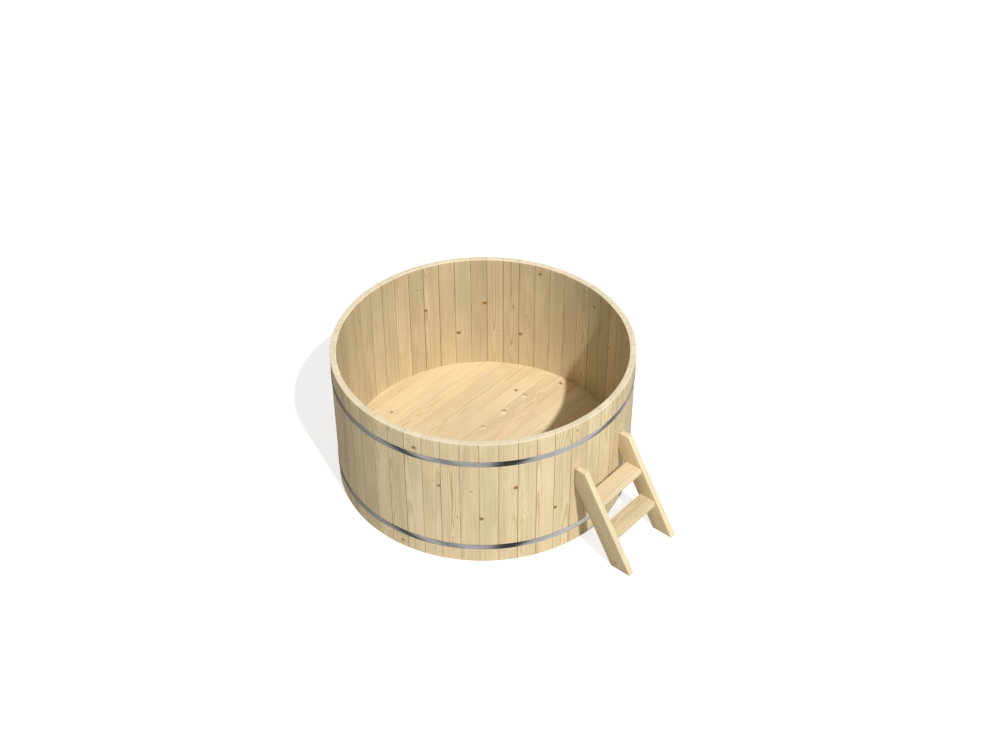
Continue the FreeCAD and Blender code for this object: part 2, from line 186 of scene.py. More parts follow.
# Colours of early and late wood, the floor's paler with painted light, of pale wood that painted
# highlights mix towards, in a seam, of the painted shade in an eye, and of a knot from its middle
wall_early_wood = (0.84, 0.70, 0.455)
wall_late_wood = (0.60, 0.43, 0.20)
ladder_late_wood = (0.62, 0.44, 0.21)
# The floor's wood is paler than the wall's: painted light on a floor that faces up
painted_light_floor_early_wood = (0.875, 0.72, 0.465)
painted_light_floor_late_wood = (0.68, 0.475, 0.232)
pale_wood = (0.93, 0.86, 0.70)
seam_shade = (0.25, 0.085, 0.008)
eye_painted_shade = (0.38, 0.24, 0.09)
knot_colours = [
    (0.14, (0.115, 0.062, 0.026)),
    (0.28, (0.40, 0.24, 0.098)),
    (0.42, (0.27, 0.153, 0.062)),
    (0.54, (0.52, 0.355, 0.165)),
    (0.85, (0.71, 0.555, 0.31)),
]

# How pale the wood is, above 0 paler and below 0 darker: painted highlight on the rim, the stringers'
# front edges and tops and the steps' fronts, painted shade inside the tub and on the stringers' sides.
# The treads' values make the lower tread darker and the upper one paler.
painted_light_rim = 1.0
# painted shade on the inner faces of the staves
painted_shade_inside = -1.35
painted_light_stringer_edge = 0.35
painted_shade_stringer_side = -0.9
pale_tread = {"lower": -0.9, "upper": 0.4}
painted_light_step_front = 0.8  # added to the tread's
highlight_band = 0.0008  # how far a painted highlight on a front or top reaches into the rounded edges
side_shade_band = 0.0004  # how far the painted shade of a stringer's side reaches into them

# View and light
camera_place = Vector((-5.7399, -5.0820, 6.9419))
camera_target = Vector((0.0741, -0.0813, 0.7320))
camera_lens = 53.45
sun_from = Vector((-0.325, -0.822, 1.0))
sun_strength = 3.0
sun_angle = math.radians(1.6)
sky_strength = 0.27
sky_colour = (0.97, 0.98, 1.01, 1.0)
white = (1.0, 1.0, 1.0, 1.0)
stage_size = 160.0
stage_drop = 0.0006
stage_colour = (0.56, 0.54, 0.50, 1.0)
stage_glow = 0.72
stage_glow_start = 0.9  # of the wall's inner radius
# Panels and darker gaps that shiny pieces see round about: angle from +X in degrees, and brightness
panels = [
    (-180, 0.66), (-170, 0.32), (-162, 0.38), (-154, 0.66), (-135, 0.54), (-128, 0.06), (-111, 0.02),
    (-102, 0.72), (-85, 0.66), (-78, 0.84), (-48, 0.80), (-36, 0.18), (-26, 0.18), (-10, 0.48),
    (40, 0.55), (60, 0.12), (84, 0.12), (105, 0.30), (122, 0.26), (134, 0.46), (149, 0.26),
    (155, 0.03), (162, 0.03), (168, 0.46), (180, 0.66),
]
panel_blue = 1.03  # of its red and green

# Worked out from the sizes above and from the frame
inner_radius = outer_radius - wall_thickness
middle_radius = outer_radius - wall_thickness / 2
foot_height, rim_height = (corner.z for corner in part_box("staves_01"))
floor_bottom, floor_top = (corner.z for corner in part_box("floor_board_09"))
floor_thickness = floor_top - floor_bottom
stave_nodes = sorted(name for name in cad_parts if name.startswith("staves_"))
stave_count = staves_per_node * len(stave_nodes)
stave_pitch = TURN / stave_count
board_nodes = sorted(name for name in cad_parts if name.startswith("floor_board_"))
board_width = 2 * floor_radius / len(board_nodes)
hoop_inside = outer_radius + hoop_clearance
hoop_outside = hoop_inside + hoop_thickness


def spread(low, high, count):
    """Evenly spaced values with both ends."""
    return np.linspace(low, high, count)


def full_turn(count):
    """Evenly spaced angles of a full turn, without its end."""
    return spread(0, TURN, count + 1)[:-1]


def loft_faces(rows, columns, ring):
    """Faces of a grid whose columns close on themselves, numbered row by row.

    In a ring the last row joins the first. Otherwise a face closes each end.
    """
    row = np.arange(rows if ring else rows - 1)[:, None]
    column = np.arange(columns)[None, :]
    next_row = (row + 1) % rows
    next_column = (column + 1) % columns
    corners = [row * columns + column, row * columns + next_column,
               next_row * columns + next_column, next_row * columns + column]
    quads = np.stack(corners, -1).reshape(-1, 4)
    first = np.arange(columns)
    caps = [] if ring else [first[::-1], first + (rows - 1) * columns]
    return quads, caps


def make_object(name, points, faces, crease):
    """Mesh object at the origin, smooth but for edges that turn by more than the crease angle."""
    mesh = bpy.data.meshes.new(name)
    mesh.from_pydata(points.tolist(), [], faces)
    mesh.polygons.foreach_set("use_smooth", np.ones(len(mesh.polygons), bool))
    mesh.set_sharp_from_angle(angle=math.radians(crease))
    piece = bpy.data.objects.new(name, mesh)
    bpy.context.scene.collection.objects.link(piece)
    return piece


def dress(piece, finish, body, nodes):
    """Give a piece its finish and its place in the frame."""
    piece.data.materials.append(finish)
    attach(piece, body)
    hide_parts(*nodes)


def set_values(mesh, name, kind, domain, values):
    """Store an attribute of numbers or vectors on a mesh."""
    field = mesh.attributes.new(name, kind, domain)
    key = "vector" if kind == "FLOAT_VECTOR" else "value"
    field.data.foreach_set(key, np.asarray(values, np.float32).ravel())


class Boards:
    """Lofted boards of one piece, with what their finish reads.

    grain: place in the log that the board was sawn from, two values across it and one along it.
    edge: distance to the board's nearest seam.
    tone: three numbers from 0 to 1 that are the same all over a board.
    pale: above 0 paler, below 0 darker, 0 elsewhere. It is painted highlight on the rim and the lit
    edges, painted shade inside the tub and on the stringers' sides, and the treads' tone.
    knot: place from the nearest knot, across and along the grain, and the knot's radius.
    """

    def __init__(self):
        self.points, self.grain, self.edge, self.tone, self.pale = [], [], [], [], []
        self.faces, self.knot = [], []
        self.count = 0

    def add(self, points, local, edge, knots, pale=0.0, ring=False):
        """Add one board: a grid of points, and its own (across, through, along) at each point."""
        rows, columns = points.shape[:2]
        quads, caps = loft_faces(rows, columns, ring)
        own = local.reshape(-1, 3)
        self.points.append(points.reshape(-1, 3))
        self.grain.append(in_the_log(own))
        self.edge.append(np.broadcast_to(edge, (rows, columns)).ravel())
        self.pale.append(np.broadcast_to(pale, (rows, columns)).ravel())
        self.tone.append(np.tile(random.random(3), (len(own), 1)))
        self.knot.append(from_knot(own, quads, knots))
        for cap in caps:
            self.knot.append(np.tile(no_knot[:3], (len(cap), 1)))
        self.faces += (quads + self.count).tolist()
        self.faces += [(cap + self.count).tolist() for cap in caps]
        self.count += len(own)

    def finish(self, name, crease=28):
        """The finished object."""
        piece = make_object(name, np.concatenate(self.points), self.faces, crease)
        set_values(piece.data, "grain", "FLOAT_VECTOR", "POINT", np.concatenate(self.grain))
        set_values(piece.data, "tone", "FLOAT_VECTOR", "POINT", np.concatenate(self.tone))
        set_values(piece.data, "edge", "FLOAT", "POINT", np.concatenate(self.edge))
        set_values(piece.data, "pale", "FLOAT", "POINT", np.concatenate(self.pale))
        set_values(piece.data, "knot", "FLOAT_VECTOR", "CORNER", np.concatenate(self.knot))
        return piece


def in_the_log(own):
    """Places of a board's points measured from the heart of the log, which runs a little askew.

    The heart lies at a random place beside the board, so the yearly rings, which are circles about
    it, come out as straight lines on one board and as long arches on another.
    """
    side = random.choice((-1.0, 1.0))
    heart = np.array([random.uniform(-heart_aside, heart_aside), side * random.uniform(*heart_behind)])
    askew = random.uniform(-log_slant, log_slant, 2)
    across = own[:, :2] - heart - own[:, 2:] * askew
    along = own[:, 2:] + random.uniform(0, log_length)
    return np.concatenate([across, along], 1)


def from_knot(own, quads, knots):
    """For each corner of each face: across and along from the nearest knot, and its radius.

    A knot is (across, along, radius, side). Side is +1 or -1 for a knot on one face only, or 0.
    A knot on the other face counts as farther away than a log is long.
    """
    table = np.concatenate([[no_knot], np.array(knots, float).reshape(-1, 4)])
    middle = own[quads].mean(1)
    apart = np.abs(middle[:, 2:] - table[:, 1])
    wrong_side = table[:, 3] * np.sign(middle[:, 1:2]) < 0
    nearest = table[np.argmin(apart + log_length * wrong_side, 1)]
    offset = own[quads][:, :, [0, 2]] - nearest[:, None, :2]
    radius = np.broadcast_to(nearest[:, None, 2:3], offset.shape[:2] + (1,))
    return np.concatenate([offset, radius], 2).reshape(-1, 3)


def random_knots(width, start, end):
    """Small knots that go right through a board, at random places along it."""
    count = random.poisson(random_knots_per_metre * (end - start))
    knots = []
    for along in random.uniform(start, end, count):
        across = random.uniform(-random_knot_spread, random_knot_spread) * width
        knots.append((across, along, random.uniform(*random_knot_radius), 0))
    return knots


def edge_profile(thickness, chamfer, grooved):
    """Board edge between its chamfers as depths from one face, and how far each point stands out."""
    middle = thickness / 2
    slack = joint_clearance if grooved else 0.0
    reach = -tongue_length - groove_end_gap if grooved else tongue_length
    root = tongue_root / 2 + slack
    tip = tongue_tip / 2 + slack
    depth = [chamfer, middle - root, middle - tip, middle + tip, middle + root, thickness - chamfer]
    return np.array(depth), np.array([0.0, 0.0, reach, reach, 0.0, 0.0])


def stave_section(arc_points=9):
    """Plan of a stave as radius, angle from its middle, distance from the nearest seam, and inside.

    It goes round the outer arc, the tongue, the inner arc and the groove. Inside is 1 on the inner
    arc and 0 elsewhere.
    """
    half = stave_pitch / 2
    parts = []
    for radius, side in ((outer_radius, 1), (inner_radius, -1)):
        reach = half - seam_chamfer / radius
        angle = spread(-reach, reach, arc_points) * side
        inside = np.full(arc_points, side < 0)
        parts.append((np.full(arc_points, radius), angle, radius * (half - np.abs(angle)), inside))
        depth, out = edge_profile(wall_thickness, seam_chamfer, grooved=side < 0)
        depth = depth[::-side]
        along = inner_radius + depth
        turn = side * (half + np.arctan2(out, along))
        nothing = np.zeros(len(depth))
        parts.append((np.hypot(along, out), turn, nothing, nothing))
    return [np.concatenate(values) for values in zip(*parts)]


def wall_levels(body_rows=28, rim_rows=4):
    """Heights up the wall with the least and greatest radius of the wood at each.

    The foot is chamfered outside, the croze is a groove for the floor, and the rim is rounded.
    """
    tilt = croze_clearance
    croze_top = floor_top + croze_clearance
    groove = inner_radius + croze_depth
    levels = [
        (foot_height, inner_radius, outer_radius - foot_chamfer),
        (foot_height + foot_chamfer, inner_radius, outer_radius),
        (floor_bottom - tilt, inner_radius, outer_radius),
        (floor_bottom, groove, outer_radius),
        (croze_top, groove, outer_radius),
    ]
    for height in spread(croze_top + tilt, rim_height - rim_round, body_rows):
        levels.append((height, inner_radius, outer_radius))
    for angle in spread(0, math.pi / 2, rim_rows + 1)[1:]:
        inset = rim_round * (1 - math.cos(angle))
        height = rim_height - rim_round * (1 - math.sin(angle))
        levels.append((height, inner_radius + inset, outer_radius - inset))
    return np.array(levels).T


def stave_knots(middle):
    """Knots of the stave whose middle is at an angle, from the lists, or else a few at random."""
    width = stave_pitch * middle_radius
    knots = []
    for listed, side, radius in ((outer_knots, 1, outer_radius), (inner_knots, -1, inner_radius)):
        for angle, height, size in listed:
            turn = (math.radians(angle) - middle + math.pi) % TURN - math.pi
            if abs(turn) < stave_pitch / 2:
                limit = width / 2 - size
                knots.append((min(max(turn * radius, -limit), limit), height, size, side))
    return knots or random_knots(width, floor_top, rim_height)


def make_staves():
    """The wall: each stave is its plan carried up the wall's levels.

    At each level the plan's radius is held between the least and greatest radius of the wood.
    """
    radius, angle, edge, inside = stave_section()
    height, least, greatest = wall_levels()
    near_rim = height > rim_height - 2 * rim_round
    on_rim = near_rim & (greatest < outer_radius)
    # Painted highlight on the rounded rim, painted shade on the staves' inner faces
    pale = np.where(on_rim[:, None], painted_light_rim, painted_shade_inside * inside)
    finish = wood_finish("stave_spruce", wall_early_wood, wall_late_wood)
    index = 0
    for number, node in enumerate(stave_nodes):
        boards = Boards()
        for _ in range(staves_per_node):
            middle = first_seam + (index + 0.5) * stave_pitch
            inset = random.uniform(0, largest_stave_inset)
            drop = random.uniform(0, largest_stave_drop)
            r = np.clip(radius, least[:, None], greatest[:, None]) - inset
            z = np.broadcast_to((height - drop * near_rim)[:, None], r.shape)
            points = np.stack([r * np.cos(middle + angle), r * np.sin(middle + angle), z], -1)
            across = np.broadcast_to(angle * middle_radius, r.shape)
            local = np.stack([across, r - middle_radius, z], -1)
            boards.add(points, local, edge, stave_knots(middle), pale)
            index += 1
        piece = boards.finish("wall_staves_%02d" % (number + 1))
        dress(piece, finish, "tub", [node])


def board_middle(index):
    """Distance of a floor board's centre line from the tub's axis, along Y."""
    return (index + 0.5) * board_width - floor_radius


def floor_section(near, far, index, face_points=11):
    """Section of a floor board in Y and Z: underside, tongue, top and groove.

    The points across it are evenly spaced along the round of the floor, which cuts its ends.
    """
    tongue_depth, tongue_out = edge_profile(floor_thickness, floor_chamfer, False)
    groove_depth, groove_out = edge_profile(floor_thickness, floor_chamfer, True)
    if index == 0:
        groove_out = groove_out * 0
    if index == len(board_nodes) - 1:
        tongue_out = tongue_out * 0
    ends = np.arcsin(np.array([near + floor_chamfer, far - floor_chamfer]) / floor_radius)
    inside = floor_radius * np.sin(spread(*ends, face_points))
    under = np.zeros(face_points)
    y = np.concatenate([inside, far + tongue_out, inside[::-1], (near - groove_out)[::-1]])
    z = np.concatenate([under, tongue_depth, under + floor_thickness, groove_depth[::-1]])
    return y, z + floor_bottom


def floor_board_knots(index):
    """Knots of one floor board, from the list, or else a few at random."""
    middle = board_middle(index)
    knots = []
    for x, y, size in floor_knots:
        if abs(y - middle) < board_width / 2:
            knots.append((y - middle, x, size, 0))
    return knots or random_knots(board_width, -floor_knot_reach, floor_knot_reach)


def make_floor(rows=44):
    """The floor: each board is its section carried along X as far as the round of the floor."""
    # Paler wood than the wall's, as painted light on the upward-facing floor
    finish = wood_finish("floor_spruce", painted_light_floor_early_wood, painted_light_floor_late_wood, contrast=0.6, seam=0.3)
    for index, node in enumerate(board_nodes):
        near = board_middle(index) - board_width / 2
        far = near + board_width
        if index == 0:
            near += end_board_trim
        if index == len(board_nodes) - 1:
            far -= end_board_trim
        boards = Boards()
        if node == drain_board:
            points = drain_board_surface(near, far)
        else:
            y, z = floor_section(near, far, index)
            z = z - random.uniform(0, largest_board_drop) * (z > floor_top - 2 * floor_chamfer)
            reach = np.sqrt(floor_radius ** 2 - y ** 2)
            x = spread(-1, 1, rows)[:, None] * reach
            points = np.stack([x, np.broadcast_to(y, x.shape), np.broadcast_to(z, x.shape)], -1)
        edge = np.clip(np.minimum(points[..., 1] - near, far - points[..., 1]), 0, None)
        local = np.stack([points[..., 1] - board_middle(index),
                          points[..., 2] - floor_bottom - floor_thickness / 2, points[..., 0]], -1)
        boards.add(points, local, edge, floor_board_knots(index), ring=node == drain_board)
        piece = boards.finish("floor_plank_%02d" % (index + 1))
        dress(piece, finish, "tub", [node])


def drain_board_surface(near, far, spokes=72):
    """The board with the drain: loops about the drain, up the sides, in over the top, down the hole.

    Each loop point lies on a spoke from the drain's middle. On the outline it is where the spoke
    first meets the near edge, the far edge or the round of the floor. In the hole it is at the
    hole's radius. The corners of the outline have spokes of their own.
    """
    low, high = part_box("drain_body")
    centre = (low + high) / 2
    flange = (high.x - low.x) / 2 + drain_clearance
    tail = drain_tail_radius + drain_clearance
    turns = [full_turn(spokes)]
    for y in (near, far):
        reach = math.sqrt(floor_radius ** 2 - y ** 2)
        turns.append(np.arctan2(y - centre.y, np.array([-reach, reach]) - centre.x) % TURN)
    turns = np.sort(np.concatenate(turns))
    ray_x = np.cos(turns)
    ray_y = np.sin(turns)

    def outline(near_edge, far_edge):
        """Distance along each spoke to the board's outline."""
        to_edge = np.where(ray_y > 0, far_edge - centre.y, centre.y - near_edge)
        to_edge = to_edge / np.maximum(np.abs(ray_y), 1e-9)
        along = centre.x * ray_x + centre.y * ray_y
        to_round = -along + np.sqrt(along ** 2 - centre.x ** 2 - centre.y ** 2 + floor_radius ** 2)
        return np.minimum(to_edge, to_round)

    tongue_depth, tongue_out = edge_profile(floor_thickness, floor_chamfer, False)
    groove_depth, groove_out = edge_profile(floor_thickness, floor_chamfer, True)
    face = outline(near + floor_chamfer, far - floor_chamfer)
    recess = floor_thickness - drain_recess
    loops = [(face, 0.0)]
    for row in range(len(tongue_depth)):
        depth = np.where(ray_y > 0, tongue_depth[row], groove_depth[row])
        loops.append((outline(near - groove_out[row], far + tongue_out[row]), depth))
    loops += [(face, floor_thickness), (flange, floor_thickness), (flange, recess), (tail, recess),
              (tail, 0.0)]
    reach, depth = (np.stack([np.broadcast_to(value, len(turns)) for value in values])
                    for values in zip(*loops))
    return np.stack([centre.x + reach * ray_x, centre.y + reach * ray_y, depth + floor_bottom], -1)


def round_section(low, high, corner, inset=0.0, corner_points=4):
    """Rounded rectangle between two corners, anticlockwise, drawn in on all sides by an inset.

    Low, high and inset may be columns of values, which give one rectangle to each row.
    """
    centres = [(high, high, 0), (low, high, 1), (low, low, 2), (high, low, 3)]
    first, second = [], []
    for one, two, quarter in centres:
        angle = spread(quarter, quarter + 1, corner_points) * math.pi / 2
        diagonal = (quarter + 0.5) * math.pi / 2
        shift = corner + inset
        first.append(one[0] - np.sign(np.cos(diagonal)) * shift + corner * np.cos(angle))
        second.append(two[1] - np.sign(np.sin(diagonal)) * shift + corner * np.sin(angle))
    return np.concatenate(first, -1), np.concatenate(second, -1)


def eased_levels(start, end, rounding, rows):
    """Stations from one end to the other, with the inset that rounds both ends."""
    angle = spread(0, math.pi / 2, 4)
    inset = rounding * (1 - np.sin(angle))
    near_start = start + rounding * (1 - np.cos(angle))
    near_end = end - rounding * (1 - np.cos(angle))
    middle = spread(start + rounding, end - rounding, rows)[1:-1]
    stations = np.concatenate([near_start, middle, near_end[::-1]])
    return stations[:, None], np.concatenate([inset, np.zeros(rows - 2), inset[::-1]])[:, None]


def wall_contact():
    """Distance from the tub's axis to the stringers' upright back cut."""
    arris = ladder_width / 2 - stringer_thickness + ladder_edge_round
    return math.sqrt(outer_radius ** 2 - arris ** 2) + ladder_wall_clearance


def front_edge(height):
    """Distance from the tub's axis to the stringers' front edge at a height."""
    return wall_contact() + ladder_top_depth + (ladder_height - height) * math.tan(ladder_lean)


def make_stringer(name, side, finish):
    """Leaning plank: a rounded rectangle carried up, between its front edge and its back edge.

    The front edge leans. The back edge lies behind it by the plank's width, until it meets the wall.
    """
    z, inset = eased_levels(0.0, ladder_height, ladder_end_round, rows=24)
    front = front_edge(z)
    back = np.maximum(front - stringer_width / math.cos(ladder_lean), wall_contact())
    edges = sorted([side * ladder_width / 2, side * (ladder_width / 2 - stringer_thickness)])
    x, y = round_section((edges[0], -front), (edges[1], -back), ladder_edge_round, inset)
    z = np.broadcast_to(z, y.shape)
    points = np.stack([np.broadcast_to(x, y.shape), y, z], -1)
    along = y * math.sin(ladder_lean) + z * math.cos(ladder_lean)
    across = y * math.cos(ladder_lean) - z * math.sin(ladder_lean)
    local = np.stack([across - across.mean(), points[..., 0] - sum(edges) / 2, along], -1)
    knots = []
    for (aside, up, size), face in zip(stringer_knots, (side, 0)):
        knots.append((aside, along.min() + up, size, face))
    # Painted highlight on the front edge and the top
    highlighted = (y <= -front + highlight_band) | (z > ladder_height - highlight_band)
    # painted shade on the two flat sides
    flat = np.abs(local[..., 1]) > stringer_thickness / 2 - side_shade_band
    pale = np.where(highlighted, painted_light_stringer_edge, painted_shade_stringer_side * flat)
    boards = Boards()
    boards.add(points, local, 1.0, knots, pale)
    piece = boards.finish("ladder_side_" + name, crease=24)
    dress(piece, finish, "ladder", ["ladder_stringer_" + name])


def make_step(name, finish):
    """Step board: a rounded rectangle in Y and Z carried along X from housing to housing."""
    low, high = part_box("ladder_step_" + name)
    x, inset = eased_levels(low.x, high.x, step_end_round, rows=14)
    y, z = round_section((low.y, low.z), (high.y, high.z), ladder_edge_round, inset)
    x = np.broadcast_to(x, y.shape)
    points = np.stack([x, y, z], -1)
    local = np.stack([y - (low.y + high.y) / 2, z - (low.z + high.z) / 2, x], -1)
    # Painted highlight on the step's front
    highlighted = y <= low.y + highlight_band
    knots = random_knots(high.y - low.y, low.x / 2, high.x / 2)
    boards = Boards()
    boards.add(points, local, 1.0, knots, pale_tread[name] + painted_light_step_front * highlighted)
    piece = boards.finish("ladder_tread_" + name)
    dress(piece, finish, "ladder", ["ladder_step_" + name])


def make_ladder():
    """Two stringers and two steps."""
    finish = wood_finish("ladder_spruce", wall_early_wood, ladder_late_wood)
    make_stringer("left", -1, finish)
    make_stringer("right", 1, finish)
    make_step("lower", finish)
    make_step("upper", finish)


def make_hoop(name, finish, stations=361):
    """Steel band: a thin rounded rectangle in radius and height, carried round from end to end."""
    low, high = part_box(name + "_hoop")
    half_gap = math.asin(hoop_gap / 2 / hoop_outside)
    start = closing_angles[name] + half_gap
    turn = spread(start, start + TURN - 2 * half_gap, stations)[:, None]
    r, z = round_section((hoop_inside, low.z), (hoop_outside, high.z), hoop_corner)
    r = r[::-1]
    z = np.broadcast_to(z[::-1], (len(turn), len(z)))
    points = np.stack([r * np.cos(turn), r * np.sin(turn), z], -1)
    quads, caps = loft_faces(*z.shape, ring=False)
    faces = quads.tolist() + [cap.tolist() for cap in caps]
    piece = make_object(name + "_hoop_band", points.reshape(-1, 3), faces, crease=28)
    strip = np.stack([np.broadcast_to(turn * hoop_outside, z.shape), z], -1).reshape(-1, 2)
    corners = np.concatenate([np.array(face) for face in faces])
    layer = piece.data.uv_layers.new(name="strip")
    layer.data.foreach_set("uv", strip[corners].astype(np.float32).ravel())
    dress(piece, finish, "tub", [name + "_hoop"])


def about_axis(place, direction, rows):
    """Surface about an axis, from rows of (distance along it, radius).

    A radius is one number, or one for each angle about the axis.
    """
    direction = np.array(direction, float)
    side = np.cross(direction, (0.0, 0.0, 1.0))
    side /= np.linalg.norm(side)
    other = np.cross(direction, side)
    count = max(np.size(radius) for _, radius in rows)
    angle = full_turn(count)
    along = np.array([distance for distance, _ in rows])[:, None, None]
    radius = np.stack([np.broadcast_to(radius, count) for _, radius in rows])[:, :, None]
    ray = np.cos(angle)[:, None] * side + np.sin(angle)[:, None] * other
    return np.array(place, float) + along * direction + radius * ray


def hexagon(width, angle):
    """Radius of a hexagon at each angle, given its width across the flats."""
    return width / 2 / np.cos(angle % (TURN / 6) - TURN / 12)


def join_lofts(name, lofts, ring):
    """One object of several lofted surfaces, which are all rings or all closed at their ends."""
    points, faces, count = [], [], 0
    for loft in lofts:
        quads, caps = loft_faces(*loft.shape[:2], ring=ring)
        faces += (quads + count).tolist() + [(cap + count).tolist() for cap in caps]
        points.append(loft.reshape(-1, 3))
        count += len(points[-1])
    return make_object(name, np.concatenate(points), faces, crease=30)


def turned_corners(hexagonal, start, height, first_share, steps):
    """Rows of a hexagon whose corners are turned off by a cone that widens from a start.

    The cone goes from a first share of half the hexagon's width to just past its corners.
    """
    rows = []
    for part in spread(0, 1, steps + 1)[1:]:
        cone = bolt_head_width / 2 * (first_share + (corner_share - first_share) * part)
        rows.append((start + height * part, np.minimum(hexagonal, cone)))
    return rows


def bolt_rows(length, columns=48):
    """Crowned hexagon head, plain shank, and a thread that climbs one pitch each turn.

    The thread's radius falls to its root and rises again once in a pitch, with short flats at its
    root and its crest. At the bolt's end the thread tapers to its root.
    """
    angle = full_turn(columns)
    hexagonal = hexagon(bolt_head_width, angle)
    flat = bolt_head_width / 2
    top_share, cone_share = bolt_crown_shares
    thread_start = length - bolt_thread_length
    rows = [(-bolt_head_height, flat * top_share)]
    rows += turned_corners(hexagonal, -bolt_head_height, bolt_crown_height, cone_share, 4)
    rows += [(-bolt_head_edge, hexagonal), (0.0, flat * bolt_seat_share), (0.0, bolt_radius),
             (thread_start, bolt_radius)]
    step = bolt_pitch / bolt_rows_per_pitch
    for along in np.arange(thread_start, length - bolt_tip_length, step)[1:]:
        climb = (along / bolt_pitch - angle / TURN) % 1.0
        root = np.clip(np.abs(climb - 0.5) * 2.4 - 0.2, 0, 1)
        taper = min(1.0, (length - along) / bolt_thread_taper)
        rows.append((along, bolt_radius - bolt_thread_depth * (1 - taper * (1 - root))))
    rows.append((length, bolt_tip_radius))
    return rows


def nut_rows(columns=48):
    """Hexagon with both ends chamfered, and its bore."""
    hexagonal = hexagon(bolt_head_width, full_turn(columns))
    bore = bolt_radius + nut_clearance
    face_share, cone_share = nut_chamfer_shares
    face = bolt_head_width / 2 * face_share
    rows = [(0.0, bore + nut_mouth), (0.0, face)]
    rows += turned_corners(hexagonal, 0.0, nut_chamfer, cone_share, 2)
    rows += turned_corners(hexagonal, nut_height, -nut_chamfer, cone_share, 2)[::-1]
    rows += [(nut_height, face), (nut_height, bore + nut_mouth), (nut_height - nut_mouth_depth, bore),
             (nut_mouth_depth, bore)]
    return rows


def rivet_rows(columns=24):
    """Shank and a domed head, half an ellipse turned about the axis."""
    shank = hoop_thickness + lug_clearance + lug_thickness
    rows = [(0.0, rivet_radius * np.ones(columns)), (shank, rivet_radius), (shank, rivet_head_radius)]
    for angle in spread(0, math.pi / 2, 7)[1:]:
        rows.append((shank + rivet_head_height * math.sin(angle),
                     rivet_head_radius * max(math.cos(angle), rivet_top_share)))
    return rows


def make_hoop_fasteners(finish):
    """Bolts, nuts and rivets that close the two hoops, each in the place of its solid."""
    seat = hoop_gap / 2 + lug_thickness + washer_thickness
    length = 2 * seat + nut_height + bolt_end_length
    toe = math.asin(hoop_gap / 2 / hoop_outside) + lug_foot_length / hoop_outside
    bolts, nuts, rivets = [], [], []
    for name, closing in closing_angles.items():
        low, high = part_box(name + "_hoop")
        height = (low.z + high.z) / 2
        outward = np.array([math.cos(closing), math.sin(closing), 0.0])
        across = np.array([-math.sin(closing), math.cos(closing), 0.0])
        axis = outward * (hoop_outside + bolt_height) + (0, 0, height)
        bolts.append(about_axis(axis + across * seat, -across, bolt_rows(length)))
        nuts.append(about_axis(axis - across * seat, -across, nut_rows()))
        for side in (1, -1):
            for row in (0, 1):
                from_toe = (rivet_end_distance + row * rivet_pitch) / hoop_outside
                turn = closing + side * (toe - from_toe)
                ray = np.array([math.cos(turn), math.sin(turn), 0.0])
                rivets.append(about_axis(ray * hoop_inside + (0, 0, height), ray, rivet_rows()))
    for name, lofts, ring in (("bolts", bolts, False), ("nuts", nuts, True), ("rivets", rivets, False)):
        piece = join_lofts("closing_" + name, lofts, ring)
        dress(piece, finish, "tub", ["hoop_" + name])


def screw_rows(columns=36):
    """Countersunk screw from its tip to its head. The radius of its lobed recess goes as a cosine."""
    lobes = screw_recess_radius + screw_lobe_height * np.cos(screw_lobes * full_turn(columns))
    neck = screw_head_radius - screw_radius
    edge = screw_head_edge
    top = -screw_head_rise
    return [
        (screw_length, screw_tip_radius * np.ones(columns)),
        (screw_length - screw_tip_length, screw_radius),
        (neck, screw_radius),
        (edge, screw_head_radius),
        (top / 2, screw_head_radius - edge / 3),
        (top, screw_head_radius - 2 * edge),
        (top, lobes + edge * 2 / 3),
        (top + edge, lobes),
        (screw_recess_depth, lobes * screw_recess_taper),
    ]


def make_ladder_screws(finish):
    """Screws through the stringers into the ends of the steps."""
    screws = []
    for name in ("lower", "upper"):
        low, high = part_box("ladder_step_" + name)
        for y in (low.y + step_screw_inset, high.y - step_screw_inset):
            for side in (1.0, -1.0):
                head = (side * ladder_width / 2, y, (low.z + high.z) / 2)
                screws.append(about_axis(head, (-side, 0, 0), screw_rows())[::-1])
    piece = join_lofts("step_screws", screws, False)
    dress(piece, finish, "ladder", ["ladder_screws"])


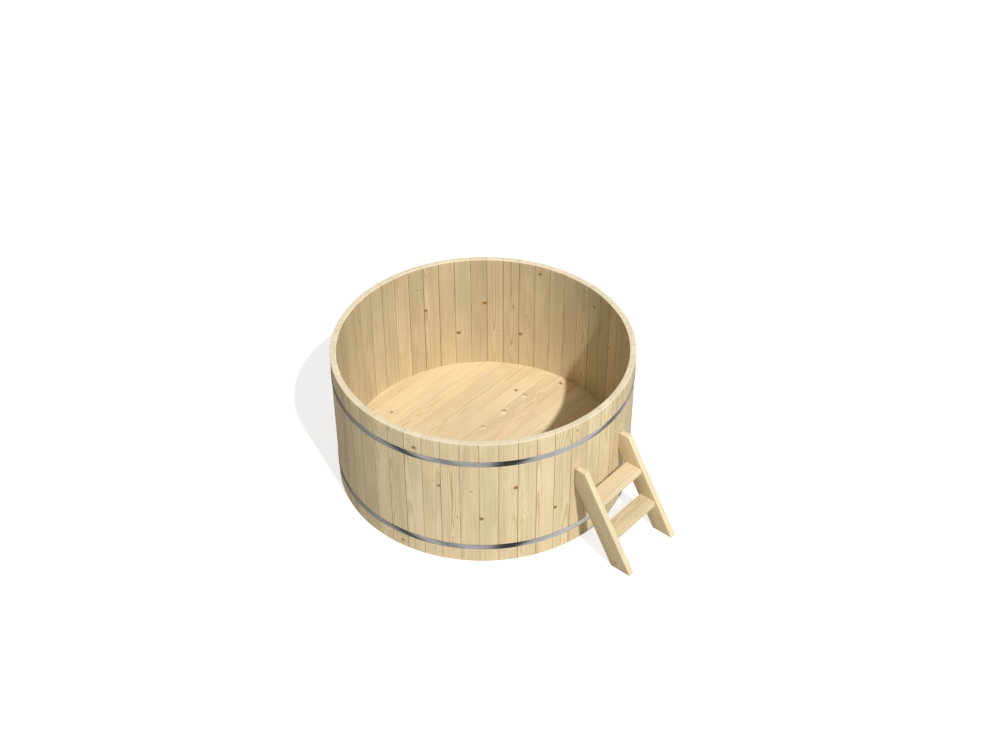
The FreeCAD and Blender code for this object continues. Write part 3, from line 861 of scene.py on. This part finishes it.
class Nodes:
    """A tree of shader nodes, with short ways to add to it."""

    def __init__(self, tree):
        self.tree = tree
        tree.nodes.clear()

    def add(self, kind, inputs=None, **settings):
        """A new node, with its settings and with values or links for its inputs."""
        node = self.tree.nodes.new(kind)
        for key, value in settings.items():
            setattr(node, key, value)
        for key, value in (inputs or {}).items():
            self.put(node.inputs[key], value)
        return node

    def put(self, socket, value):
        """Link a socket to another, or set its value."""
        if isinstance(value, bpy.types.NodeSocket):
            self.tree.links.new(value, socket)
        else:
            socket.default_value = value

    def math(self, operation, a, b=0.0):
        """One step of arithmetic."""
        return self.add("ShaderNodeMath", {0: a, 1: b}, operation=operation).outputs[0]

    def vector(self, operation, a, b=(0, 0, 0)):
        """One step of arithmetic on vectors."""
        node = self.add("ShaderNodeVectorMath", {0: a, 1: b}, operation=operation)
        return node.outputs["Value" if operation == "LENGTH" else "Vector"]

    def split(self, vector):
        """The three parts of a vector."""
        return self.add("ShaderNodeSeparateXYZ", {0: vector}).outputs

    def attribute(self, name, output):
        """A value stored on the mesh."""
        return self.add("ShaderNodeAttribute", attribute_name=name).outputs[output]

    def object_place(self):
        """Place in the model."""
        return self.add("ShaderNodeTexCoord").outputs["Object"]

    def noise(self, vector, stretch, detail, roughness=0.5, output="Fac"):
        """Noise whose grain per metre is given along each axis."""
        place = self.vector("MULTIPLY", vector, stretch)
        node = self.add("ShaderNodeTexNoise", {"Vector": place, "Scale": 1.0, "Detail": detail,
                                               "Roughness": roughness})
        return node.outputs[output]

    def fade(self, value, start, end, low=0.0, high=1.0):
        """Smooth change from low to high while a value goes from start to end."""
        node = self.add("ShaderNodeMapRange", {0: value, 1: start, 2: end, 3: low, 4: high},
                        interpolation_type="SMOOTHSTEP")
        return node.outputs[0]

    def ramp(self, value, stops):
        """Colours along a value, given as (position, colour)."""
        node = self.add("ShaderNodeValToRGB", {0: value})
        elements = node.color_ramp.elements
        while len(elements) < len(stops):
            elements.new(1.0)
        for element, (position, colour) in zip(elements, stops):
            element.position = position
            element.color = (*colour, 1.0)
        return node.outputs["Color"]

    def mix(self, share, a, b, blend="MIX"):
        """Mix of two colours."""
        node = self.add("ShaderNodeMix", data_type="RGBA", blend_type=blend)
        for socket, value in zip((node.inputs[0], node.inputs[6], node.inputs[7]), (share, a, b)):
            self.put(socket, (*value, 1.0) if isinstance(value, tuple) else value)
        return node.outputs[2]

    def shaded(self, colour, shade):
        """A colour made lighter or darker by a factor."""
        grey = self.add("ShaderNodeCombineXYZ", {0: shade, 1: shade, 2: shade}).outputs[0]
        return self.mix(1.0, colour, grey, "MULTIPLY")


class Finish(Nodes):
    """A material of one shader, whose plain values are given by name."""

    def __init__(self, name, **values):
        self.material = bpy.data.materials.new(name)
        self.material.use_nodes = True
        super().__init__(self.material.node_tree)
        self.shader = self.add("ShaderNodeBsdfPrincipled")
        for key, value in values.items():
            self.give(key.replace("_", " "), value)
        self.add("ShaderNodeOutputMaterial", {"Surface": self.shader.outputs[0]})

    def give(self, key, value):
        """Set or link one of the shader's inputs."""
        self.put(self.shader.inputs[key], value)

    def bump(self, height, distance, strength):
        """Small relief, with its height as a length."""
        inputs = {"Height": height, "Distance": distance, "Strength": strength}
        self.give("Normal", self.add("ShaderNodeBump", inputs).outputs["Normal"])


def drift(f, grain, stretch, reach):
    """Sideways drift of the grain, by up to half a reach either way."""
    noise = f.noise(grain, stretch, 1.0, output="Color")
    return f.vector("MULTIPLY", f.vector("SUBTRACT", noise, (0.5, 0.5, 0.5)), (reach, reach, 0.0))


def bent_grain(f, across, along, square_x, square_y):
    """Place in the log, pushed aside by a knot and wandering a little.

    The push fades as a bell of the squared distance from the knot, which is longer along the grain. It
    ends at a set distance along the grain.
    """
    grain = f.attribute("grain", "Vector")
    stretched = f.math("ADD", square_x, f.math("MULTIPLY", square_y, 0.22))
    swell = f.math("EXPONENT", f.math("MULTIPLY", stretched, -0.16))
    swell = f.math("MULTIPLY", swell, f.fade(f.math("ABSOLUTE", along), *knot_push_end, 1.0, 0.0))
    push = f.math("MULTIPLY", f.math("MULTIPLY", across, swell), -0.85)
    sideways = f.add("ShaderNodeCombineXYZ", {0: push}).outputs[0]
    wander = drift(f, grain, (7.0, 7.0, 1.3), grain_wander)
    ripple = drift(f, grain, (60.0, 60.0, 7.0), grain_ripple)
    return f.vector("ADD", f.vector("ADD", grain, sideways), f.vector("ADD", wander, ripple))


def year_rings(f, place):
    """Share of late wood by distance from the log's heart.

    It rises slowly through each ring and falls at the ring's end. A slow noise makes rings wider or
    narrower, and stronger or fainter.
    """
    heart = f.vector("LENGTH", f.vector("MULTIPLY", place, (1.0, 1.0, 0.0)))
    inputs = {"W": f.math("MULTIPLY", heart, 32.0), "Scale": 1.0, "Detail": 2.0}
    slow = f.add("ShaderNodeTexNoise", inputs, noise_dimensions="1D").outputs[0]
    even_rings = f.math("MULTIPLY", heart, 1 / ring_pitch)
    phase = f.math("FRACT", f.math("ADD", even_rings, f.math("MULTIPLY", slow, ring_drift)))
    line = f.math("MULTIPLY", f.fade(phase, 0.45, 0.92), f.fade(phase, 0.92, 1.0, 1.0, 0.0))
    return f.math("MULTIPLY", line, f.fade(slow, 0.3, 0.7, 0.25, 0.85))


def with_knot(f, colour, distance, size):
    """A colour with a knot over it, by distance from its middle in radii. Small knots are fainter."""
    knot = f.ramp(f.math("MULTIPLY", distance, 0.4), knot_colours)
    dark = f.fade(size, 0.0, dark_knot_radius)
    return f.mix(f.math("MULTIPLY", f.fade(distance, 1.1, 2.4, 1.0, 0.0), dark), colour, knot)


def with_eye(f, colour, distance, aslant, size):
    """A colour with an eye over it where the size is below zero.

    The eye is a pale oval, with a brown arc of painted shade round one side of it, as on a swelling lit
    from that side, by distance aslant from its middle.
    """
    shown = f.fade(size, -0.0001, 0.0, 1.0, 0.0)
    oval = f.fade(distance, 0.6, 1.2, 0.45, 0.0)
    colour = f.mix(f.math("MULTIPLY", shown, oval), colour, pale_wood)
    # Painted shade: the brown arc on one side of the eye
    arc = f.math("MULTIPLY", f.fade(distance, 0.55, 0.95), f.fade(distance, 1.0, 1.7, 0.75, 0.0))
    arc = f.math("MULTIPLY", arc, f.fade(aslant, 0.0, 0.8))
    return f.mix(f.math("MULTIPLY", shown, arc), colour, eye_painted_shade)


def wood_finish(name, early, late, contrast=1.0, seam=1.0):
    """Planed spruce: yearly rings about the log's heart, fibre, tone from board to board, and knots.

    A ring's colour runs slowly from pale early wood to a narrow brown line of late wood. Near a knot
    the grain is pushed aside. Seams are darker. Contrast and seam are shares of the full effect.
    """
    f = Finish(name, Specular_IOR_Level=0.3)
    tone = f.split(f.attribute("tone", "Vector"))
    edge = f.attribute("edge", "Fac")
    pale = f.attribute("pale", "Fac")
    across, along, size = f.split(f.attribute("knot", "Vector"))
    radius = f.math("ABSOLUTE", size)
    knot_x = f.math("DIVIDE", f.math("DIVIDE", across, radius), knot_width)
    knot_y = f.math("DIVIDE", along, radius)
    square_x = f.math("MULTIPLY", knot_x, knot_x)
    square_y = f.math("MULTIPLY", knot_y, knot_y)
    place = bent_grain(f, across, along, square_x, square_y)
    line = year_rings(f, place)
    streak = f.noise(place, (38.0, 38.0, 0.55), 3.0, 0.6)
    vein = f.noise(place, (130.0, 130.0, 0.8), 2.0, 0.6)
    blotch = f.noise(place, (9.0, 9.0, 2.4), 2.0)
    fibre = f.noise(place, (900.0, 900.0, 14.0), 2.0)

    colour = f.mix(line, early, late)
    colour = f.mix(f.fade(streak, 0.45, 0.78, 0.0, 0.32), colour, late)
    colour = f.mix(f.fade(vein, 0.56, 0.70, 0.0, 0.32), colour, late)
    tint = f.mix(tone[0], (1.015, 0.985, 0.965), (0.985, 1.005, 0.975))
    colour = f.mix(contrast, colour, tint, "MULTIPLY")
    shade = f.fade(tone[1], 0.0, 1.0, 1.0 - 0.08 * contrast, 1.0 + 0.05 * contrast)
    shade = f.math("MULTIPLY", shade, f.fade(blotch, 0.25, 0.75, 0.93, 1.06))
    shade = f.math("MULTIPLY", shade, f.fade(fibre, 0.2, 0.8, 0.95, 1.04))
    # Painted light and shade from pale: darker below 0, paler above 0 and mixed towards pale wood. On
    # the treads it only sets their tone.
    shade = f.math("MULTIPLY", shade, f.math("ADD", f.math("MULTIPLY", pale, 0.14), 1.0))
    colour = f.shaded(colour, shade)
    colour = f.mix(f.fade(pale, 0.0, 1.0, 0.0, 0.35), colour, pale_wood)
    rough_rim = f.math("MULTIPLY", f.noise(place, (140.0, 140.0, 60.0), 2.0), 0.5)
    distance = f.math("ADD", f.math("SQRT", f.math("ADD", square_x, square_y)), rough_rim)
    aslant = f.math("DIVIDE", f.math("ADD", across, along), radius)
    colour = with_knot(f, colour, distance, size)
    colour = with_eye(f, colour, distance, aslant, size)

    gap = f.fade(edge, 0.0004, 0.0030, 1.0, 0.0)
    gap = f.math("MULTIPLY", gap, f.fade(tone[2], 0.0, 1.0, 0.5 * seam, seam))
    gap = f.math("MULTIPLY", gap, f.fade(pale, 0.0, 1.0, 1.0, 0.15))
    f.give("Base Color", f.mix(gap, colour, seam_shade))
    f.give("Roughness", f.fade(fibre, 0.2, 0.8, 0.48, 0.62))
    f.bump(f.math("ADD", f.math("MULTIPLY", line, 0.6), f.math("MULTIPLY", fibre, 0.5)), 0.00018, 0.6)
    return f.material


def sawn_finish(name):
    """Rough sawn softwood, with saw marks across boards that run along Y."""
    f = Finish(name, Roughness=0.75, Specular_IOR_Level=0.2)
    place = f.object_place()
    streak = f.noise(place, (45.0, 1.2, 45.0), 3.0, 0.6)
    fibre = f.noise(place, (700.0, 18.0, 700.0), 2.0)
    marks = f.noise(place, (6.0, 420.0, 6.0), 1.0)
    colour = f.mix(f.fade(streak, 0.3, 0.75), (0.66, 0.51, 0.32), (0.46, 0.31, 0.16))
    shade = f.math("MULTIPLY", f.fade(fibre, 0.2, 0.8, 0.88, 1.06), f.fade(marks, 0.3, 0.7, 0.92, 1.04))
    f.give("Base Color", f.shaded(colour, shade))
    f.bump(f.math("ADD", marks, f.math("MULTIPLY", fibre, 0.5)), 0.0004, 0.7)
    return f.material


def strip_finish(name):
    """Bright rolled steel strip, with fine lines along it and faint stains."""
    f = Finish(name, Metallic=1.0)
    place = f.add("ShaderNodeUVMap", uv_map="strip").outputs[0]
    lines = f.noise(place, (2.5, 1600.0, 1.0), 3.0, 0.6)
    stain = f.noise(place, (7.0, 40.0, 1.0), 3.0)
    f.give("Base Color", f.mix(f.fade(stain, 0.3, 0.75), (0.67, 0.665, 0.64), (0.58, 0.575, 0.555)))
    rough = f.math("ADD", f.fade(lines, 0.25, 0.75, 0.15, 0.21), f.fade(stain, 0.4, 0.8, 0.0, 0.05))
    f.give("Roughness", rough)
    f.bump(lines, 0.00001, 0.25)
    return f.material


def steel_finish(name, colour, worn, roughness):
    """Plain steel with small blotches and fine scratches."""
    f = Finish(name, Metallic=1.0)
    place = f.object_place()
    blotch = f.noise(place, (120.0, 120.0, 120.0), 3.0)
    scratch = f.noise(place, (900.0, 900.0, 60.0), 2.0)
    f.give("Base Color", f.mix(f.fade(blotch, 0.35, 0.7), colour, worn))
    rough = f.math("ADD", f.fade(blotch, 0.3, 0.7, roughness - 0.06, roughness + 0.08),
                   f.fade(scratch, 0.4, 0.8, 0.0, 0.05))
    f.give("Roughness", rough)
    f.bump(scratch, 0.00003, 0.4)
    return f.material


def rubber_finish(name):
    """Moulded black rubber with a fine matt grain."""
    f = Finish(name, Specular_IOR_Level=0.35)
    place = f.object_place()
    grain = f.noise(place, (1500.0, 1500.0, 1500.0), 2.0)
    dust = f.noise(place, (60.0, 60.0, 60.0), 3.0)
    colour = f.mix(f.fade(dust, 0.45, 0.8, 0.0, 0.5), (0.022, 0.022, 0.023), (0.06, 0.058, 0.055))
    f.give("Base Color", colour)
    f.give("Roughness", f.fade(dust, 0.3, 0.7, 0.5, 0.68))
    f.bump(grain, 0.00005, 0.5)
    return f.material


def finish_solids(finishes):
    """Finishes for the solids that keep their own shape."""
    for finish, nodes in finishes:
        for node in nodes:
            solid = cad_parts[node]
            solid.data.materials.clear()
            solid.data.materials.append(finish)


def make_camera():
    """Camera at the photograph's place, without shift or depth of field."""
    data = bpy.data.cameras.new("camera")
    data.lens = camera_lens
    data.clip_end = stage_size
    camera = bpy.data.objects.new("camera", data)
    camera.location = camera_place
    camera.rotation_mode = "QUATERNION"
    camera.rotation_quaternion = (camera_target - camera_place).to_track_quat("-Z", "Y")
    bpy.context.scene.collection.objects.link(camera)
    bpy.context.scene.camera = camera


def make_stage():
    """Pale floor, one large square.

    It glows for the camera but lights nothing, and under the tub it doesn't glow.
    """
    half = stage_size / 2
    corners = np.array([(-half, -half), (half, -half), (half, half), (-half, half)])
    points = np.concatenate([corners, np.full((4, 1), -stage_drop)], 1)
    floor = make_object("pale_floor", points, [[0, 1, 2, 3]], crease=30)
    f = Finish("pale_floor", Roughness=0.9, Specular_IOR_Level=0.0, Base_Color=stage_colour,
               Emission_Color=white)
    from_axis = f.vector("LENGTH", f.vector("MULTIPLY", f.object_place(), (1.0, 1.0, 0.0)))
    glow = f.fade(from_axis, stage_glow_start * inner_radius, inner_radius, 0.0, stage_glow)
    seen = f.add("ShaderNodeLightPath").outputs["Is Camera Ray"]
    f.give("Emission Strength", f.math("MULTIPLY", seen, glow))
    floor.data.materials.append(f.material)
    floor.visible_glossy = False


def make_sun():
    """One high sun from the camera's right, which shiny pieces don't mirror."""
    data = bpy.data.lights.new("sun", "SUN")
    data.energy = sun_strength
    data.angle = sun_angle
    sun = bpy.data.objects.new("sun", data)
    sun.rotation_mode = "QUATERNION"
    sun.rotation_quaternion = (-sun_from).to_track_quat("-Z", "Y")
    sun.visible_glossy = False
    bpy.context.scene.collection.objects.link(sun)


def make_sky():
    """A pale sky that gives the light, panels that shiny pieces mirror, and white behind it all."""
    world = bpy.data.worlds.new("studio")
    world.use_nodes = True
    bpy.context.scene.world = world
    w = Nodes(world.node_tree)
    x, y, _ = w.split(w.add("ShaderNodeTexCoord").outputs["Generated"])
    turn = w.math("ARCTAN2", y, x)
    share = w.add("ShaderNodeMapRange", {0: turn, 1: -math.pi, 2: math.pi}).outputs[0]
    stops = [((angle + 180) / 360, (level, level, level * panel_blue)) for angle, level in panels]
    path = w.add("ShaderNodeLightPath").outputs
    sky = w.add("ShaderNodeBackground", {"Color": sky_colour, "Strength": sky_strength}).outputs[0]
    mirrored = w.add("ShaderNodeBackground", {"Color": w.ramp(share, stops)}).outputs[0]
    behind = w.add("ShaderNodeBackground", {"Color": white}).outputs[0]
    unseen = w.add("ShaderNodeMixShader", {0: path["Is Glossy Ray"], 1: sky, 2: mirrored}).outputs[0]
    whole = w.add("ShaderNodeMixShader", {0: path["Is Camera Ray"], 1: unseen, 2: behind}).outputs[0]
    w.add("ShaderNodeOutputWorld", {"Surface": whole})
    bpy.context.scene.view_settings.view_transform = "Standard"


make_camera()
make_stage()
make_sun()
make_sky()
make_staves()
make_floor()
make_ladder()
strip = strip_finish("hoop_strip_steel")
make_hoop("upper", strip)
make_hoop("lower", strip)
fastener = steel_finish("fastener_zinc", (0.60, 0.60, 0.61), (0.46, 0.46, 0.47), 0.34)
lug_steel = steel_finish("lug_zinc", (0.56, 0.57, 0.58), (0.44, 0.44, 0.45), 0.42)
drain_steel = steel_finish("drain_bright_steel", (0.66, 0.66, 0.67), (0.58, 0.58, 0.59), 0.22)
make_hoop_fasteners(fastener)
make_ladder_screws(fastener)
finish_solids([
    (sawn_finish("bearer_sawn_wood"), ["bearer_left", "bearer_middle", "bearer_right"]),
    (lug_steel, ["upper_hoop_lugs", "lower_hoop_lugs"]),
    (fastener, ["hoop_washers", "bearer_screws"]),
    (drain_steel, ["drain_body", "drain_nut", "drain_pull_ring"]),
    (rubber_finish("seal_rubber"), ["drain_gasket", "drain_washer", "drain_plug"]),
])
